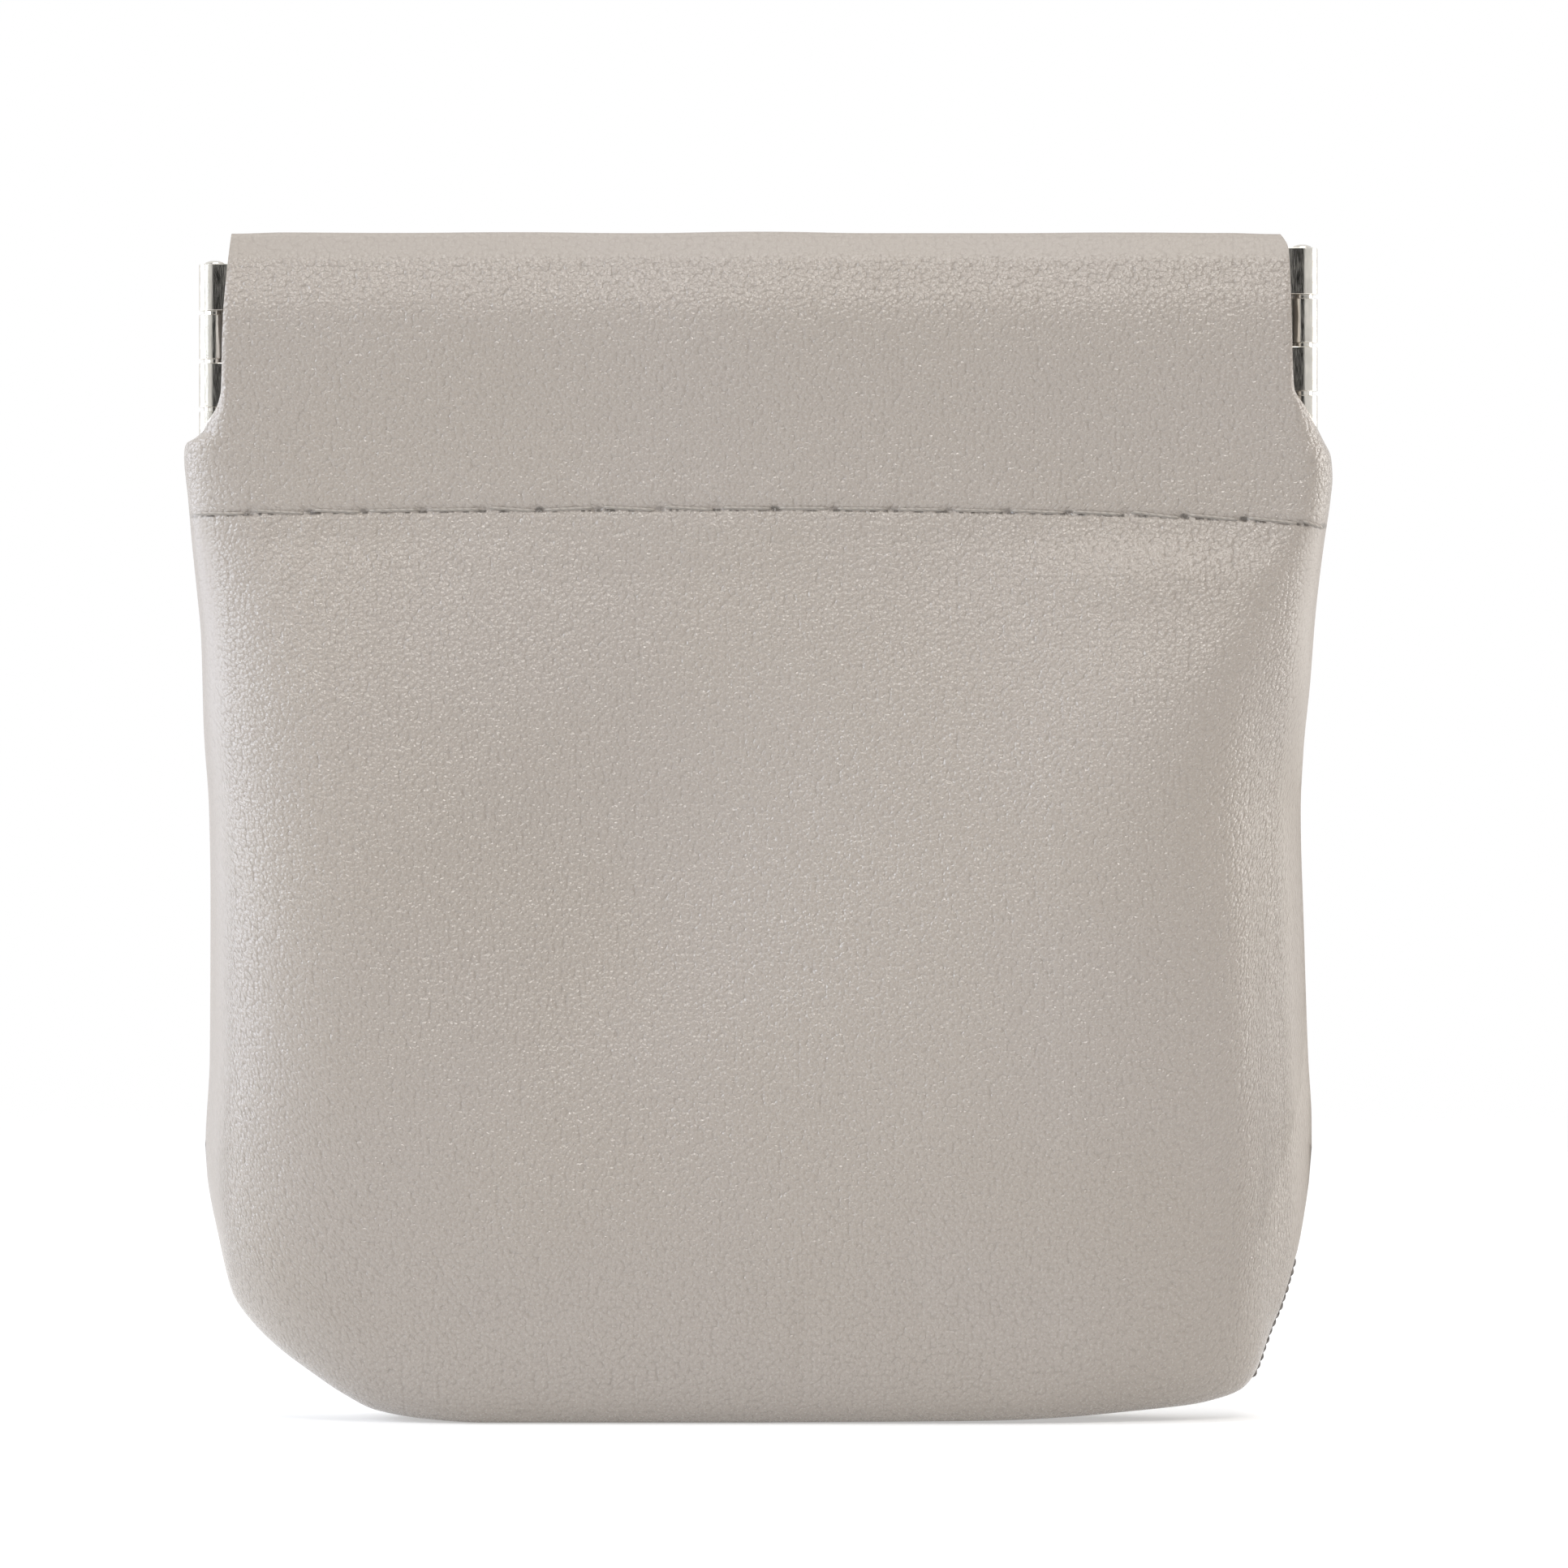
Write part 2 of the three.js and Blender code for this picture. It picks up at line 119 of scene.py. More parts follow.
BOTTOM = {
    "left": curve([
        (0, 0), (0.5, 0.0), (0.6, 0.2), (0.69, 0.75), (0.745, 1.8), (0.815, 3.7), (0.872, 5.5), (0.928, 7.9), (0.948, 9.2), (0.961, 11), (0.9755, 13.7), (0.986, 15.6), (0.9935, 17.3), (0.998, 18.8), (1, 20.2)]),
    "right": curve([
        (0, 0), (0.4, 0.12), (0.55, 0.35), (0.65, 0.6), (0.78, 1.05), (0.83, 1.5), (0.869, 2.1), (0.888, 2.8), (0.901, 3.7), (0.914, 5.2), (0.927, 6.7), (0.943, 8.2), (0.956, 9.8), (0.968, 11.5), (0.977, 12.9), (0.987, 15.2), (0.9935, 17.0), (0.998, 18.6), (1, 20.0)]),
}
BELLY = curve([(0, 6.4), (7.5, 7.5), (14, 8.05), (24, 8.3), (34, 8.0), (44, 7.15), (52, 5.95), (58, 4.75), (63, 3.55), (65.6, 2.95), (67.5, 2.8), (72, 2.87), (80.7, 3.3), (90, 3.3)])
ROUND = {
    "left": curve([(0, 11), (12, 13), (20, 14), (40, 14), (52, 12), (60, 8.8), (64, 7.2), (67, 6.0), (70, 5.0), (72, 3.6), (75, 0.9), (76.5, 0.4), (90, 0.4)]),
    "right": curve([(0, 12), (12, 12.5), (20, 13), (40, 13), (52, 11.5), (60, 7.5), (64, 4.6), (67, 3.0), (72, 2.2), (75, 0.9), (76.5, 0.4), (90, 0.4)]),
}
EDGE_DEPTH = curve([(0, 0.12), (71.6, 0.12), (72.8, 0.5), (74.4, 1.6), (75.6, 2.5), (76.6, 2.8), (81, 3.16), (90, 3.16)])
STITCH = curve([(-42.6, 66.72), (-38.2, 66.85), (-20, 67.1), (0, 67.2), (20, 66.95), (36, 66.4), (42.6, 65.9)])
PITCH = 4.3
FIRST = -41.75
HOLES = [FIRST + PITCH * k for k in range(20)]
_jog = np.random.default_rng(11).uniform(-0.16, 0.16, (2, 40))


def holes(face):
    return [h + _jog[0 if face == "front" else 1, k] for k, h in enumerate(HOLES)] + [41.75]


def ripple(face, x, z):
    """How far the leather stands out from its smooth form: dents, soft folds and sewing."""
    seed = 20 if face == "front" else 60
    low = 1 - step(62.0, 66.0, z)
    foot = step(1.0, 12.0, z)
    h = low * foot * (0.17 * soft_noise(x, z, 17, seed) + 0.06 * soft_noise(x, z, 7.5, seed + 1))
    h = h + 0.014 * soft_noise(x, z, 2.6, seed + 2)
    h = h + (1 - low) * 0.035 * soft_noise(x, z, 11, seed + 3)
    if face == "front":
        h = h - 3.0 * bump(x, -6, 17) * bump(z, 40, 18) * low * step(3.0, 14.0, z)
        # slack just under the sewing, most on the right, with fine slanting creases
        slack = bump(x, 28.5, 8.5) * bump(z, 62.4, 2.7)
        h = h + 0.5 * slack + 1.3 * bump(x, 30, 9.5) * bump(z, 50.5, 12.5) * low
        along = (x - 29) * 0.55 + (z - 63) * 0.83
        h = h + 0.065 * slack * np.sin(along * 3.3 + 0.8 * soft_noise(x, z, 4, 31))
        slack = bump(x, -36, 5) * bump(z, 62, 4)
        h = h + 0.03 * slack * np.sin((x + 36) * 1.9 - (z - 62) * 1.1)
        # two short standing creases near the bottom
        h = h - 0.09 * bump(x - (z - 6) * 0.12, 3.2, 0.7) * bump(z, 6.5, 2.6)
        h = h - 0.06 * bump(x + (z - 6) * 0.1, 12.2, 0.8) * bump(z, 9.5, 2.0)
    else:
        h = h - 0.38 * bump(x, 13, 13) * bump(z, 30, 24) * low
        slack = bump(x, -27, 9) * bump(z, 62.4, 2.8)
        h = h + 0.26 * slack + 0.04 * slack * np.sin((x + 27) * 1.7 + (z - 62) * 2.4)
    # the sewn line presses in, with a deeper prick at each needle hole
    zs = STITCH(x)
    away = z - zs
    near = np.min(np.abs(np.asarray(x)[..., None] - np.array(holes(face))), axis=-1)
    h = h - 0.11 * np.exp(-((away / 0.27) ** 2)) - 0.2 * np.exp(-((away / 0.3) ** 2) - (near / 0.42) ** 2)
    h = h + 0.07 * np.exp(-(((np.abs(away) - 1.3) / 0.9) ** 2)) * (0.6 + 0.4 * np.cos(2 * math.pi * (np.asarray(x) - FIRST) / PITCH))
    return h


# the right of the front: a nearly flat facet along the seam, a soft fold, then a long even fall
_gap = np.linspace(0, 19, 191)
_fall = 0.78 * (1 - step(2.8, 6.6, _gap)) + 0.36 * step(2.8, 6.6, _gap) * (1 - _gap / 19)
_facet = np.concatenate([[0], np.cumsum((_fall[1:] + _fall[:-1]) / 2)])
_facet /= _facet[-1]


def depth(face, side, u, z):
    """Outer face of the leather from the middle plane, at a share of the half width and a height."""
    half = EDGE[side](z)
    gap = (1 - u) * half
    main, low = BELLY(z), EDGE_DEPTH(z)
    q = np.clip(gap / ROUND[side](z), 0, 1)
    if side == "right":
        shape = (1 - (1 - q) ** 2.5) ** (1 / 1.55)
        if face == "front":
            folded = np.interp(gap, _gap, _facet)
            shape = folded + (shape - folded) * step(44.0, 58.0, z)
        out = low + (main - low) * shape
    else:
        out = low + (main - low) * (1 - (1 - q) ** 3.0) ** (1 / 2.0)
    x = SIGN[side] * u * half
    settle = step(0.0, 0.75, q)
    return np.maximum(out + ripple(face, x, z) * settle, 0.12)


# ------------------------------------------------------------------ mesh making
def mesh_piece(name, verts, faces, materials, face_material=None, sheet=None, sharp=None, smooth=True):
    mesh = bpy.data.meshes.new(name)
    mesh.from_pydata([tuple(v) for v in np.asarray(verts, float) * MM], [], faces)
    for m in materials:
        mesh.materials.append(m)
    if face_material is not None:
        mesh.polygons.foreach_set("material_index", np.asarray(face_material, dtype=np.int32))
    mesh.polygons.foreach_set("use_smooth", np.full(len(mesh.polygons), bool(smooth)))
    if sheet is not None:
        a = mesh.attributes.new("sheet", "FLOAT_VECTOR", "POINT")
        a.data.foreach_set("vector", np.asarray(sheet, dtype=np.float32).ravel())
    if sharp is not None:
        ends = np.empty(len(mesh.edges) * 2, dtype=np.int32)
        mesh.edges.foreach_get("vertices", ends)
        ends = np.sort(ends.reshape(-1, 2), axis=1)
        marked = sharp(ends)
        a = mesh.attributes.get("sharp_edge") or mesh.attributes.new("sharp_edge", "BOOLEAN", "EDGE")
        a.data.foreach_set("value", marked)
    mesh.update()
    obj = bpy.data.objects.new(name, mesh)
    bpy.context.scene.collection.objects.link(obj)
    return obj


def join(parts):
    """Several (verts, faces, sheet) lists as one."""
    verts, faces, sheet, base = [], [], [], 0
    for v, f, s in parts:
        verts.append(np.asarray(v, float))
        faces.extend([tuple(i + base for i in q) for q in f])
        sheet.append(np.asarray(s, float))
        base += len(v)
    return np.concatenate(verts), faces, np.concatenate(sheet)


def tube(points, radii, sides=10, start=0.0, twist=1.0, flat=1.0):
    """A closed thread along points. Its sheet coordinates are the length along it and the turn round it."""
    p = np.asarray(points, float)
    r = np.broadcast_to(np.asarray(radii, float), (len(p),))
    t = np.gradient(p, axis=0)
    t /= np.linalg.norm(t, axis=1)[:, None]
    up = np.array([0, 0, 1.0]) if abs(t[0][2]) < 0.8 else np.array([1.0, 0, 0])
    verts, sheet = [], []
    length = start
    for i in range(len(p)):
        if i:
            length += np.linalg.norm(p[i] - p[i - 1])
        a = np.cross(t[i], up)
        a /= np.linalg.norm(a)
        b = np.cross(a, t[i])
        up = b
        for k in range(sides):
            w = 2 * math.pi * k / sides
            verts.append(p[i] + r[i] * (flat * math.cos(w) * a + math.sin(w) * b))
            sheet.append((length, w * twist, 0))
    faces = []
    for i in range(len(p) - 1):
        for k in range(sides):
            n = (k + 1) % sides
            faces.append((i * sides + k, i * sides + n, (i + 1) * sides + n, (i + 1) * sides + k))
    faces.append(tuple(reversed(range(sides))))
    faces.append(tuple((len(p) - 1) * sides + k for k in range(sides)))
    return verts, faces, sheet


# ------------------------------------------------------------------ materials
def material(name):
    m = bpy.data.materials.new(name)
    m.use_nodes = True
    n = m.node_tree.nodes
    n.clear()
    out = n.new("ShaderNodeOutputMaterial")
    shader = n.new("ShaderNodeBsdfPrincipled")
    m.node_tree.links.new(shader.outputs[0], out.inputs[0])
    return m, n, m.node_tree.links, shader


def node(n, kind, **values):
    made = n.new(kind)
    for key, value in values.items():
        if hasattr(made, key):
            setattr(made, key, value)
        else:
            made.inputs[key.replace("_", " ")].default_value = value
    return made


def sheet_coords(n):
    return node(n, "ShaderNodeAttribute", attribute_name="sheet").outputs["Vector"]


def noise(n, l, vector, scale, detail=1.0, rough=0.5, dims="2D"):
    t = node(n, "ShaderNodeTexNoise", noise_dimensions=dims, Scale=scale, Detail=detail, Roughness=rough)
    l.new(vector, t.inputs["Vector"])
    return t


def math_node(n, l, op, a, b=None, clamp=False):
    t = n.new("ShaderNodeMath")
    t.operation = op
    t.use_clamp = clamp
    for i, v in enumerate((a, b)):
        if v is None:
            continue
        if isinstance(v, (int, float)):
            t.inputs[i].default_value = v
        else:
            l.new(v, t.inputs[i])
    return t.outputs[0]


def span(n, l, value, a, b, c, d):
    t = n.new("ShaderNodeMapRange")
    l.new(value, t.inputs["Value"])
    for key, v in zip(("From Min", "From Max", "To Min", "To Max"), (a, b, c, d)):
        t.inputs[key].default_value = v
    return t.outputs["Result"]


def mix_colour(n, l, factor, a, b):
    t = n.new("ShaderNodeMix")
    t.data_type = "RGBA"
    if isinstance(factor, (int, float)):
        t.inputs[0].default_value = factor
    else:
        l.new(factor, t.inputs[0])
    for socket, v in ((t.inputs[6], a), (t.inputs[7], b)):
        if isinstance(v, tuple):
            socket.default_value = (*v, 1)
        else:
            l.new(v, socket)
    return t.outputs[2]


def grain_leather():
    m, n, l, s = material("grain_leather")
    at = sheet_coords(n)
    # domed pebbles of the grain with narrow valleys, finer grit between them, and slower swells
    cells = node(n, "ShaderNodeTexVoronoi", voronoi_dimensions="2D", feature="F1", Scale=3.0)
    l.new(at, cells.inputs["Vector"])
    grit = noise(n, l, at, 7.5, 0.0)
    mid = noise(n, l, at, 1.1, 0.0)
    slow = noise(n, l, at, 0.055, 1.0, 0.5)
    crumb = noise(n, l, at, 5.0, 0.0)
    d = cells.outputs["Distance"]
    pebble = math_node(n, l, "SUBTRACT", 1.0, math_node(n, l, "MULTIPLY", math_node(n, l, "MULTIPLY", d, d), 2.0))
    height = math_node(n, l, "ADD", math_node(n, l, "MULTIPLY", pebble, 0.6), math_node(n, l, "MULTIPLY", grit.outputs["Fac"], 0.5))
    height = math_node(n, l, "ADD", height, math_node(n, l, "MULTIPLY", mid.outputs["Fac"], 0.35))
    taut = node(n, "ShaderNodeAttribute", attribute_name="taut")
    height = math_node(n, l, "MULTIPLY", height, span(n, l, taut.outputs["Fac"], 0, 1, 1.0, 0.2))
    relief = node(n, "ShaderNodeBump", Strength=0.85, Distance=0.00008)
    l.new(height, relief.inputs["Height"])
    l.new(relief.outputs[0], s.inputs["Normal"])
    # tone: warm grey with faint slow clouds, painted shade in the valleys of the grain so that they are a little
    # darker, tops a little paler
    tone = mix_colour(n, l, span(n, l, slow.outputs["Fac"], 0.35, 0.65, 0, 1), (0.344, 0.306, 0.270), (0.346, 0.309, 0.277))
    # painted shade: the grain's valleys drawn toward a darker brown
    tone = mix_colour(n, l, span(n, l, pebble, 0.1, 0.6, 0.24, 0.0), tone, (0.264, 0.234, 0.208))
    tone = mix_colour(n, l, span(n, l, crumb.outputs["Fac"], 0.6, 0.78, 0.0, 0.3), tone, (0.425, 0.386, 0.35))
    # the sewn line: painted shade in the needle holes, and a broken painted shadow line under the thread
    sewn = n.new("ShaderNodeSeparateXYZ")
    l.new(node(n, "ShaderNodeAttribute", attribute_name="sewn").outputs["Vector"], sewn.inputs[0])
    run, away, near = sewn.outputs
    squared = lambda v, k: math_node(n, l, "MULTIPLY", math_node(n, l, "MULTIPLY", v, v), k)
    # painted shade in each needle hole
    hole_shade = span(n, l, math_node(n, l, "ADD", squared(near, 8.5), squared(away, 30.0)), 0.35, 1.7, 1.0, 0.0)
    dash, pull = n.new("ShaderNodeTexNoise"), n.new("ShaderNodeTexNoise")
    for t, scale in ((dash, 1.15), (pull, 0.21)):
        t.noise_dimensions = "1D"
        l.new(run, t.inputs["W"])
        t.inputs["Scale"].default_value, t.inputs["Detail"].default_value = scale, 1.0
    # the painted shade at the holes is stronger or weaker along the line
    hole_shade = math_node(n, l, "MULTIPLY", hole_shade, span(n, l, pull.outputs["Fac"], 0.38, 0.62, 0.1, 0.85))
    # a painted shadow line just under the thread, broken by the dash noise
    under = math_node(n, l, "ABSOLUTE", math_node(n, l, "ADD", away, 0.12))
    thread_shadow = math_node(n, l, "MULTIPLY", span(n, l, under, 0.05, 0.16, 0.85, 0.0), span(n, l, dash.outputs["Fac"], 0.47, 0.55, 0.0, 1.0))
    # painted shade and painted shadow: holes and the line under the thread drawn toward near black
    tone = mix_colour(n, l, math_node(n, l, "MAXIMUM", hole_shade, thread_shadow), tone, (0.07, 0.06, 0.052))
    l.new(tone, s.inputs["Base Color"])
    gloss = span(n, l, math_node(n, l, "ADD", crumb.outputs["Fac"], grit.outputs["Fac"]), 0.6, 1.4, 0.14, 0.3)
    l.new(math_node(n, l, "ADD", gloss, span(n, l, taut.outputs["Fac"], 0, 1, 0.0, 0.22)), s.inputs["Roughness"])
    s.inputs["Specular IOR Level"].default_value = 0.5
    return m


def flesh_leather():
    m, n, l, s = material("flesh_side")
    at = sheet_coords(n)
    nap = noise(n, l, at, 5.5, 3.0, 0.7)
    slow = noise(n, l, at, 0.35, 1.0)
    l.new(mix_colour(n, l, span(n, l, nap.outputs["Fac"], 0.3, 0.7, 0, 1), (0.30, 0.262, 0.235), (0.43, 0.385, 0.35)), s.inputs["Base Color"])
    l.new(span(n, l, slow.outputs["Fac"], 0.3, 0.7, 0.82, 0.95), s.inputs["Roughness"])
    s.inputs["Sheen Weight"].default_value = 0.3
    s.inputs["Sheen Roughness"].default_value = 0.5
    relief = node(n, "ShaderNodeBump", Strength=0.6, Distance=0.00012)
    l.new(nap.outputs["Fac"], relief.inputs["Height"])
    l.new(relief.outputs[0], s.inputs["Normal"])
    return m


def cut_edge():
    m, n, l, s = material("cut_edge")
    at = sheet_coords(n)
    fibre = noise(n, l, at, 6.0, 2.0, 0.65, "3D")
    l.new(mix_colour(n, l, span(n, l, fibre.outputs["Fac"], 0.3, 0.7, 0, 1), (0.42, 0.38, 0.345), (0.62, 0.57, 0.53)), s.inputs["Base Color"])
    l.new(span(n, l, fibre.outputs["Fac"], 0.3, 0.7, 0.6, 0.85), s.inputs["Roughness"])
    relief = node(n, "ShaderNodeBump", Strength=0.6, Distance=0.0001)
    l.new(fibre.outputs["Fac"], relief.inputs["Height"])
    l.new(relief.outputs[0], s.inputs["Normal"])
    return m


def sewing_thread(name, dark, pale):
    m, n, l, s = material(name)
    at = sheet_coords(n)
    part = n.new("ShaderNodeSeparateXYZ")
    l.new(at, part.inputs[0])
    # two plies laid round each other: stripes that run round the thread as they go along it
    lay = math_node(n, l, "ADD", math_node(n, l, "MULTIPLY", part.outputs["X"], 11.0), math_node(n, l, "MULTIPLY", part.outputs["Y"], 2.0))
    ply = math_node(n, l, "ABSOLUTE", math_node(n, l, "SINE", math_node(n, l, "MULTIPLY", lay, 0.5)))
    fuzz = noise(n, l, at, 9.0, 1.0, 0.6)
    height = math_node(n, l, "ADD", ply, math_node(n, l, "MULTIPLY", fuzz.outputs["Fac"], 0.4))
    relief = node(n, "ShaderNodeBump", Strength=0.8, Distance=0.00006)
    l.new(height, relief.inputs["Height"])
    l.new(relief.outputs[0], s.inputs["Normal"])
    # partly painted shade between the plies, partly random tone from the fuzz: dark in the ply valleys, pale on the
    # tops
    l.new(mix_colour(n, l, span(n, l, height, 0.2, 1.2, 0, 1), dark, pale), s.inputs["Base Color"])
    l.new(span(n, l, fuzz.outputs["Fac"], 0.3, 0.7, 0.5, 0.75), s.inputs["Roughness"])
    s.inputs["Sheen Weight"].default_value = 0.2
    return m


def plated(name, base, low, high, along):
    m, n, l, s = material(name)
    at = sheet_coords(n)
    stretch = n.new("ShaderNodeVectorMath")
    stretch.operation = "MULTIPLY"
    l.new(at, stretch.inputs[0])
    stretch.inputs[1].default_value = along
    lines = noise(n, l, stretch.outputs[0], 3.0, 2.0, 0.6, "3D")
    cloud = noise(n, l, at, 0.9, 1.0, 0.5, "3D")
    dull = tuple(c * 0.72 for c in base)
    l.new(mix_colour(n, l, span(n, l, cloud.outputs["Fac"], 0.35, 0.75, 0, 0.5), base, dull), s.inputs["Base Color"])
    l.new(span(n, l, lines.outputs["Fac"], 0.3, 0.7, low, high), s.inputs["Roughness"])
    s.inputs["Metallic"].default_value = 1.0
    relief = node(n, "ShaderNodeBump", Strength=0.25, Distance=0.00002)
    l.new(lines.outputs["Fac"], relief.inputs["Height"])
    l.new(relief.outputs[0], s.inputs["Normal"])
    return m


GRAIN = grain_leather()
FLESH = flesh_leather()
CUT = cut_edge()
THREAD = sewing_thread("sewing_thread", (0.31, 0.275, 0.242), (0.4, 0.36, 0.32))
SEAM_THREAD = sewing_thread("seam_thread", (0.075, 0.066, 0.06), (0.2, 0.18, 0.165))
NICKEL = plated("nickel_plate", (0.83, 0.8, 0.74), 0.1, 0.26, (4.0, 4.0, 0.35))
STEEL = plated("spring_steel", (0.62, 0.61, 0.59), 0.22, 0.4, (0.3, 0.3, 6.0))


# ------------------------------------------------------------------ the leather
def half_sheet(face, side):
    """One half of a panel: bottom seam, foot, belly, casing, top fold and the hem folded in, as one closed sheet."""
    sx, sy = SIGN[side], FACE[face]
    cols = np.concatenate([np.linspace(0, 33.6, 99)[:-1], np.linspace(33.6, PIN_X, 33)])
    u = cols / PIN_X
    zb = BOTTOM[side](u)
    foot = 0.27 + 3.75 * (1 - step(0.48, 0.8, u))
    rise = 7.5 + (3.2 * step(0.78, 0.94, u) if side == "right" else -1.8 * step(0.6, 1.0, u))
    z1 = zb + rise
    one = np.ones_like(u)
    rows = []  # each row: depth, height, half width, inner depth or None, inner height

    for t in np.linspace(0, 1, 10):
        d = 0.12 + (foot - 0.12) * t
        rows.append((d, zb + 0.35 * np.exp(-(d - 0.12) / 0.4), EDGE[side](zb), None, None))
    f1 = depth(face, side, u, z1)
    for a in np.linspace(0, math.pi / 2, 17)[1:]:
        rows.append((foot + (f1 - foot) * math.sin(a) ** 0.92, zb + rise * (1 - math.cos(a)) , EDGE[side](zb + rise * (1 - math.cos(a))), None, None))

    def up(z):
        rows.append((depth(face, side, u, z), z, EDGE[side](z), None, None))

    for t in np.linspace(0, 1, 118)[1:]:
        up(z1 + (64.2 - z1) * t)
    for z in np.concatenate([np.linspace(64.2, 65.5, 7)[1:], np.linspace(65.5, 67.6, 25)[1:], np.linspace(67.6, 69.0, 8)[1:]]):
        up(z * one)
    for z in np.linspace(69.0, 77.0, 29)[1:]:
        up(z * one)
    for z in np.linspace(77.0, FOLD_LOW, 14)[1:]:
        up(z * one)
    x_here = sx * u * 39.0
    wave = 0.07 * soft_noise(x_here, 0 * u, 9, 5) - 0.1 * step(0.9, 1.0, u)
    apex, inner_apex, top = 0.92, 1.3, TOP - 0.08 + wave
    d0 = depth(face, side, u, FOLD_LOW * one)
    turn = 0.62                       # radius of the tight turn at the very top
    lean = math.radians(20)           # how far the front has leaned in by then
    ramp = 0.45                       # share of the way up over which it leans
    high = top - turn * (1 - math.sin(lean)) - FOLD_LOW
    for t in np.linspace(0, 1, 19)[1:]:
        v = min(t / ramp, 1.0)
        reach = ramp * (v ** 3 - v ** 4 / 2) + max(t - ramp, 0)
        slant = lean * v * v * (3 - 2 * v)
        z = FOLD_LOW + high * t
        d = d0 - (d0 - apex - turn * math.cos(lean)) * reach / (1 - ramp / 2)
        rows.append((d, z, EDGE[side](z), np.maximum(d - LEATHER * math.cos(slant), inner_apex), np.minimum(z - LEATHER * math.sin(slant) * 0.9, top - 0.85)))
    for a in np.linspace(lean, math.pi / 2, 9)[1:]:
        z = top - turn * (1 - math.sin(a))
        rows.append((apex + turn * math.cos(a) * one, z, EDGE[side](z), inner_apex + 0 * u, top - 0.85 + 0 * u))
    end = EDGE[side](np.array(TOP)) - 0.05
    for a in np.linspace(math.pi / 2, math.pi, 11)[1:]:
        z = top - 1.1 * (1 - math.sin(a))
        d = HEM_IN + (apex - HEM_IN) * (1 + math.cos(a))
        half = end + (38.3 - end) * step(0, 1, (a - math.pi / 2) / (math.pi / 2))
        rows.append((d * one, z, half * one, HEM_OUT + (inner_apex - HEM_OUT) * (1 + math.cos(a)) * one, top - 0.85 - 0.25 * (1 - math.sin(a))))
    z0 = top - 1.1
    for t in np.linspace(0, 1, 40)[1:]:
        z = z0 + (HEM_LOW - z0) * t
        dip = 0.16 * np.exp(-(((z - STITCH(sx * u * 38.3)) / 0.45) ** 2))
        rows.append((HEM_IN + dip, z, 38.3 * one, HEM_OUT * one, z + 0.0))

    d = np.array([r[0] * one for r in rows])
    z = np.array([r[1] * one for r in rows])
    x = np.array([sx * u * r[2] for r in rows])
    R, C = d.shape
    outer = np.stack([x, sy * d, z], axis=-1)

    # inner face: the leather's thickness in from the outer one
    du = np.gradient(outer, axis=1)
    dv = np.gradient(outer, axis=0)
    normal = np.cross(du, dv) * (sx * -sy)
    length = np.linalg.norm(normal, axis=-1, keepdims=True)
    normal = normal / np.maximum(length, 1e-9)
    inner = outer - normal * LEATHER
    # near the seams the inner face stays on its own side of the middle plane
    inner[..., 1] = np.where(sy * inner[..., 1] < 0.1, sy * 0.1, inner[..., 1])
    # and never comes out past the outer face, where the grid runs to a point at the corner
    inner[..., 1] = sy * np.minimum(sy * inner[..., 1], np.maximum(d - 0.02, 0.1))
    most = np.maximum(np.abs(outer[..., 0]) - 0.35 * step(0.9, 1.0, u)[None, :], 0)
    inner[..., 0] = sx * np.minimum(np.maximum(sx * inner[..., 0], 0), most)
    inner[..., 2] = np.maximum(inner[..., 2], zb[None, :] + 0.3)
    inner[:, 0, 0] = 0.0
    for i, r in enumerate(rows):
        if r[3] is not None:
            inner[i, :, 0] = outer[i, :, 0]
            inner[i, :, 1] = sy * r[3]
            inner[i, :, 2] = r[4]
    # ease the step between the two ways of making it
    first = next(i for i, r in enumerate(rows) if r[3] is not None)
    for k in range(6):
        i = first - 6 + k
        w = (k + 1) / 7
        goal = np.stack([outer[i, :, 0], sy * (d[i] - LEATHER), outer[i, :, 2]], axis=-1)
        inner[i] = inner[i] * (1 - w) + goal * w

    # the sheet laid flat: across and along, in mm
    across = np.concatenate([np.zeros((R, 1)), np.cumsum(np.linalg.norm(np.diff(outer, axis=1), axis=-1), axis=1)], axis=1) * sx
    steps = np.linalg.norm(np.diff(outer[:, :C // 2].mean(axis=1), axis=0), axis=-1)
    along = np.concatenate([[0], np.cumsum(steps)])
    flat = np.stack([across + (230.0 if face == "back" else 0.0), np.repeat(along[:, None], C, 1), np.zeros((R, C))], axis=-1)

    idx = np.arange(R * C).reshape(R, C)
    inn = idx + R * C
    a, b, c, e = idx[:-1, :-1].ravel(), idx[:-1, 1:].ravel(), idx[1:, 1:].ravel(), idx[1:, :-1].ravel()
    keep = sx * -sy > 0
    quads = np.stack([a, b, c, e] if keep else [a, e, c, b], axis=1)
    a, b, c, e = a + R * C, b + R * C, c + R * C, e + R * C
    quads_in = np.stack([a, e, c, b] if keep else [a, b, c, e], axis=1)
    walls = []

    def wall(line_out, line_in, flip):
        for i in range(len(line_out) - 1):
            q = (line_out[i], line_in[i], line_in[i + 1], line_out[i + 1])
            walls.append(q[::-1] if flip else q)

